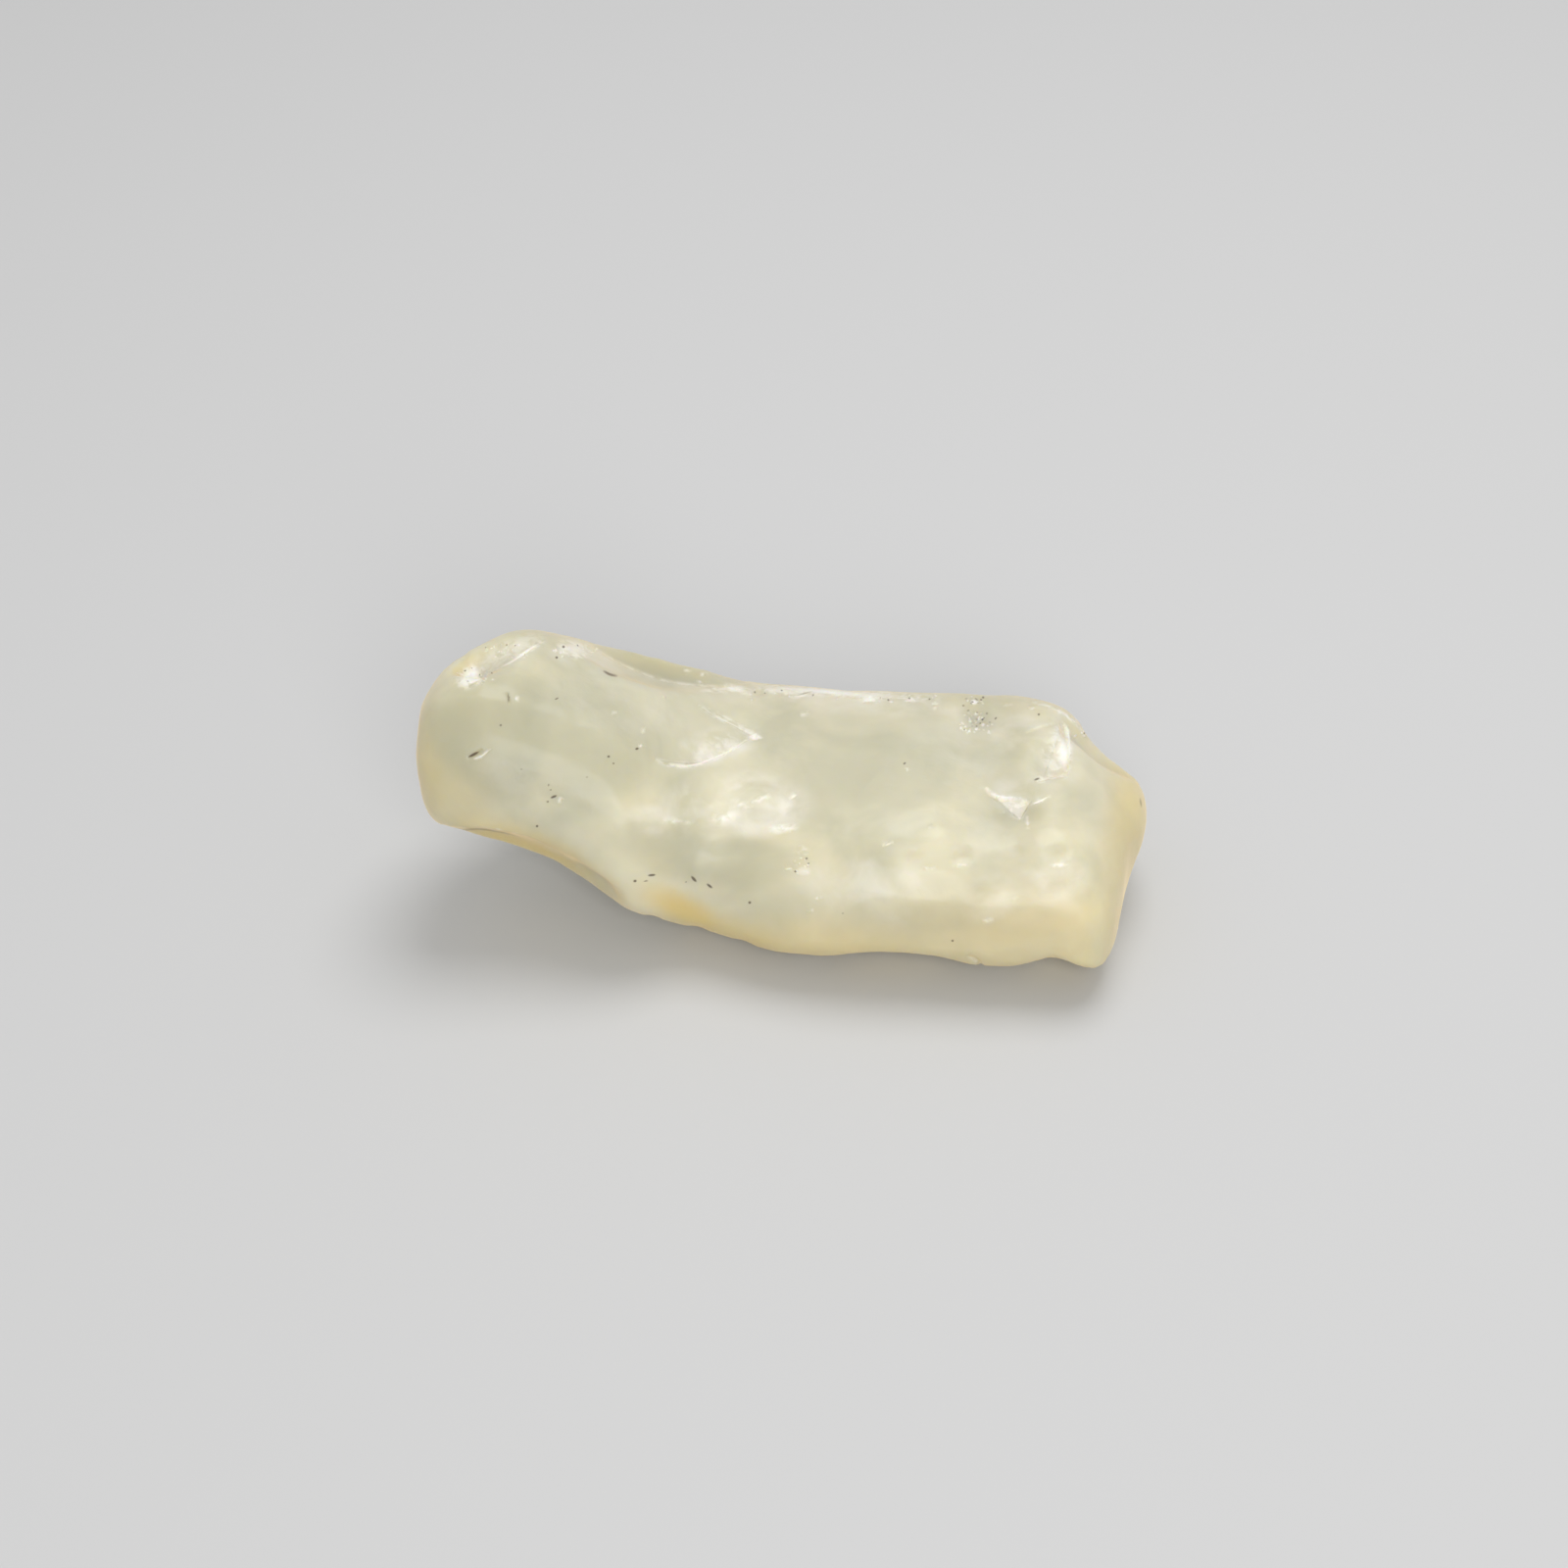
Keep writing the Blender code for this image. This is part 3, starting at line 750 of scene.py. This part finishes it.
def keep_inside(stone, box):
    """Shrink the stone a little where it reaches out of the solid's box."""
    points = points_of(stone)[0] * MM
    low, high = np.array(box)
    fits = [min(1, low[axis] / points[:, axis].min(), high[axis] / points[:, axis].max())
            for axis in (0, 1)]
    fits.append(min(1, high[2] / points[:, 2].max()))
    make_active(stone)
    bpy.ops.object.mode_set(mode="EDIT")
    bpy.ops.mesh.select_all(action="SELECT")
    bpy.ops.transform.resize(value=fits, center_override=(0, 0, 0))
    bpy.ops.object.mode_set(mode="OBJECT")


def thinness(stone):
    """How little glass lies behind each point: one at a sharp edge, and near zero on the broad sides."""
    bpy.context.view_layer.update()
    solid = BVHTree.FromObject(stone, bpy.context.evaluated_depsgraph_get())
    points, facing = points_of(stone)
    thin = np.zeros(len(points))
    side_ways = np.array(((1, 0, 0), (-1, 0, 0), (0, 1, 0), (0, -1, 0), (0, 0, 1), (0, 0, -1)))
    for number, (point, face) in enumerate(zip(points, facing)):
        start = Vector(point - LOOK_FROM * face) * MM
        for way in side_ways:
            inward = Vector(LOOK_SPREAD * way - face).normalized()
            hit = solid.ray_cast(start, inward)[3]
            thin[number] += math.exp(-hit / MM / GLASS_REACH) if hit else 1
    return thin / len(side_ways)


def seen_bruises_and_highlights(places, sparkles):
    """How white the glass is painted: bruises, crumbs and broken edges, and painted highlights on edges,
    chip faces and lumps.
    """
    layers = [ovals(places, [*BRUISES_AND_HIGHLIGHTS, *sparkles])]
    for corners, _, _, low_side, strength, spread in SEEN_STEPS.values():
        layers.append(strength * band(places, corners, LINE_GLOW))
        if spread:
            layers.append(LOWERED_GLOW * strength * step_fall(places, corners, spread, low_side) ** 0.5)
    for corners, half_width, _, strength in SEEN_FURROWS.values():
        layers.append(strength * band(places, corners, half_width))
    for corners, _, strength in SEEN_FACETS.values():
        layers.append(strength * facet(places, corners))
    return strongest(places, layers)


def seen_darkness(places, sand):
    """How dark the grains, the scratches and the thin lines make the glass, with painted shade along the
    underside fold.
    """
    lines = (strength * band(places, corners, half_width) for corners, half_width, strength in DARK_LINES)
    return strongest(places, [ovals(places, [*DARK_MARKS, *sand]), *lines])


def seen_clearness_and_shade(places):
    """How clear and how shaded the glass is painted: clear zones, and painted shade on the left lobe, below
    the middle highlights and just behind the back ridge.
    """
    corners, _, reach, low_side, _, _ = SEEN_STEPS["back_ridge"]
    side, along, _ = from_line(places, corners, reach)
    behind = side * low_side
    rise, fade = ease(behind / RIDGE_START), ease(2 - 2 * behind / reach)
    behind_ridge = RIDGE_SHADE * rise * fade * taper(along)
    return strongest(places, [behind_ridge, patches(places, CLEAR_AND_SHADE_PATCHES)])


def warmth_and_glow(stone, places, seen, thin):
    """How warm the glass is painted: warm patches, and a painted glow where it is thin and at its foot."""
    height = points_of(stone)[0][:, 2]
    warm = GLOW_IN_THIN * thin + GLOW_AT_FOOT * np.exp(-height / GLOW_FOOT)
    for *shape, strength in WARM_AND_GLOW_PATCHES:
        warm += strength * seen * oval(places, *shape) ** 2
    return warm


def lay_mark(stone, name, strengths):
    """Keep a number for each point of the stone, for the glass to read."""
    mark = stone.data.attributes.new(name, "FLOAT", "POINT")
    mark.data.foreach_set("value", np.clip(strengths, 0, 1).astype(np.float32))


def lay_marks(stone, sparkles, sand, thin, hidden_edges, luck):
    """Keep what the material reads at each point. The bright hidden flecks are drawn first."""
    places, seen = in_photo(stone)
    bright_flecks = hidden_flecks(stone, luck, *HIDDEN_BRIGHT_FLECKS)
    dark_flecks = hidden_flecks(stone, luck, *HIDDEN_DARK_FLECKS)
    bruise_and_highlight = strongest(places, [seen_bruises_and_highlights(places, sparkles) * seen, hidden_edges, bright_flecks])
    lay_mark(stone, "bruise_and_highlight", bruise_and_highlight)
    lay_mark(stone, "dark_mark", np.maximum(seen_darkness(places, sand) * seen, dark_flecks))
    lay_mark(stone, "milk_and_highlight", patches(places, MILK_AND_HIGHLIGHT_PATCHES) * seen)
    # The clear mark carries clearer glass and painted shade.
    lay_mark(stone, "clear", seen_clearness_and_shade(places) * seen)
    lay_mark(stone, "warmth_and_glow", warmth_and_glow(stone, places, seen, thin))


class Shader:
    """A material's nodes, joined one after another."""

    def __init__(self, name):
        self.material = bpy.data.materials.new(name)
        self.material.use_nodes = True
        self.tree = self.material.node_tree
        self.surface = self.tree.nodes["Principled BSDF"]
        self.place = self.tree.nodes.new("ShaderNodeTexCoord").outputs["Object"]

    def join(self, source, target):
        self.tree.links.new(source, target)

    def mark(self, name):
        node = self.tree.nodes.new("ShaderNodeAttribute")
        node.attribute_name = name
        return node.outputs["Fac"]

    def noise(self, size, detail, warp):
        """Clouds of this size in mm."""
        node = self.tree.nodes.new("ShaderNodeTexNoise")
        self.join(self.place, node.inputs["Vector"])
        node.inputs["Scale"].default_value = 1 / (size * MM)
        node.inputs["Detail"].default_value = detail
        node.inputs["Distortion"].default_value = warp
        return node.outputs["Fac"]

    def stretch(self, value, low, high, to_low=0.0, to_high=1.0):
        """Turn values from low to high into ones from to_low to to_high."""
        node = self.tree.nodes.new("ShaderNodeMapRange")
        self.join(value, node.inputs["Value"])
        node.inputs["From Min"].default_value = low
        node.inputs["From Max"].default_value = high
        node.inputs["To Min"].default_value = to_low
        node.inputs["To Max"].default_value = to_high
        return node.outputs["Result"]

    def combine(self, operation, first, second):
        node = self.tree.nodes.new("ShaderNodeMath")
        node.operation = operation
        self.join(first, node.inputs[0])
        self.join(second, node.inputs[1])
        return node.outputs["Value"]

    def blend(self, share, first, second):
        """The first colour, turning into the second where the share is one."""
        node = self.tree.nodes.new("ShaderNodeMix")
        node.data_type = "RGBA"
        self.join(share, node.inputs["Factor"])
        for colour, target in ((first, node.inputs[6]), (second, node.inputs[7])):
            if isinstance(colour, tuple):
                target.default_value = (*colour, 1)
            else:
                self.join(colour, target)
        return node.outputs[2]

    def bump(self, height, distance, normal=None):
        """Fine relief this many mm high."""
        node = self.tree.nodes.new("ShaderNodeBump")
        node.inputs["Distance"].default_value = distance * MM
        self.join(height, node.inputs["Height"])
        if normal:
            self.join(normal, node.inputs["Normal"])
        return node.outputs["Normal"]


def desert_glass():
    """Milky yellow glass that light soaks into, with a waxy gloss."""
    shader = Shader("milky_desert_glass")
    marks = {name: shader.mark(name) for name in MARK_COLOURS}
    # Bruised glass and painted highlights, broken into crumbs where they are faint.
    bruise_and_highlight = marks["bruise_and_highlight"]
    crumbs = shader.stretch(shader.noise(*BROKEN_CRUMBS), *CRUMB_SPAN)
    marks["bruise_and_highlight"] = shader.combine("MAXIMUM", shader.combine("MULTIPLY", bruise_and_highlight, crumbs),
                                     shader.stretch(bruise_and_highlight, *WHOLE_BRUISE_AND_HIGHLIGHT_SPAN))
    # Milky glass and painted highlights, broken into wisps.
    wisps = shader.stretch(shader.noise(*MILKY_WISPS), *WISP_SPAN)
    marks["milk_and_highlight"] = shader.combine("MULTIPLY", marks["milk_and_highlight"], wisps)

    clouds = shader.stretch(shader.noise(*CLOUDS), *CLOUD_SPAN)
    colour = shader.blend(clouds, GREENISH_GLASS, CREAMY_GLASS)
    # The marks paint bruises and highlights, dark grains and shade, milk and highlights, clear glass and
    # shade, and warmth and glow into the colour.
    for name, (tint, first, full, share) in MARK_COLOURS.items():
        colour = shader.blend(shader.stretch(marks[name], first, full, to_high=share), colour, tint)
    shader.join(colour, shader.surface.inputs["Base Color"])

    gloss = shader.stretch(shader.noise(*GLOSSY_PATCHES), *GLOSS_SPAN, *ROUGHNESS_RANGE)
    shader.join(gloss, shader.surface.inputs["Roughness"])
    worn = shader.bump(shader.noise(*WORN_SKIN), WORN_SKIN_HEIGHT)
    rough = shader.combine("MULTIPLY", bruise_and_highlight, shader.noise(*ROUGH_SKIN))
    shader.join(shader.bump(rough, ROUGH_SKIN_HEIGHT, worn), shader.surface.inputs["Normal"])
    for socket, value in GLASS_SOCKETS.items():
        shader.surface.inputs[socket].default_value = value
    return shader.material


studio()
photo_camera()
stone = fine_copy("desert_glass", "desert_glass_stone")
wear_smooth(stone)
for wavelength, height in SWELLS:
    swell(stone, wavelength, height)
sparkles, sand = sparkles_and_sand()
for reach in FINE_REACHES:
    refine(stone, reach, [*DARK_MARKS, *sparkles, *sand])
thin = thinness(stone)
shift_surface(stone, seen_relief(stone))
luck = np.random.default_rng(SCAR_SEED)
hidden_heights, hidden_edges = hidden_relief(stone, luck)
shift_surface(stone, hidden_heights)
rest_on_floor(stone)
keep_inside(stone, solid_box)
lay_marks(stone, sparkles, sand, thin, hidden_edges, luck)
stone.data.materials.clear()
stone.data.materials.append(desert_glass())
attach(stone, "root")
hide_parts("desert_glass")
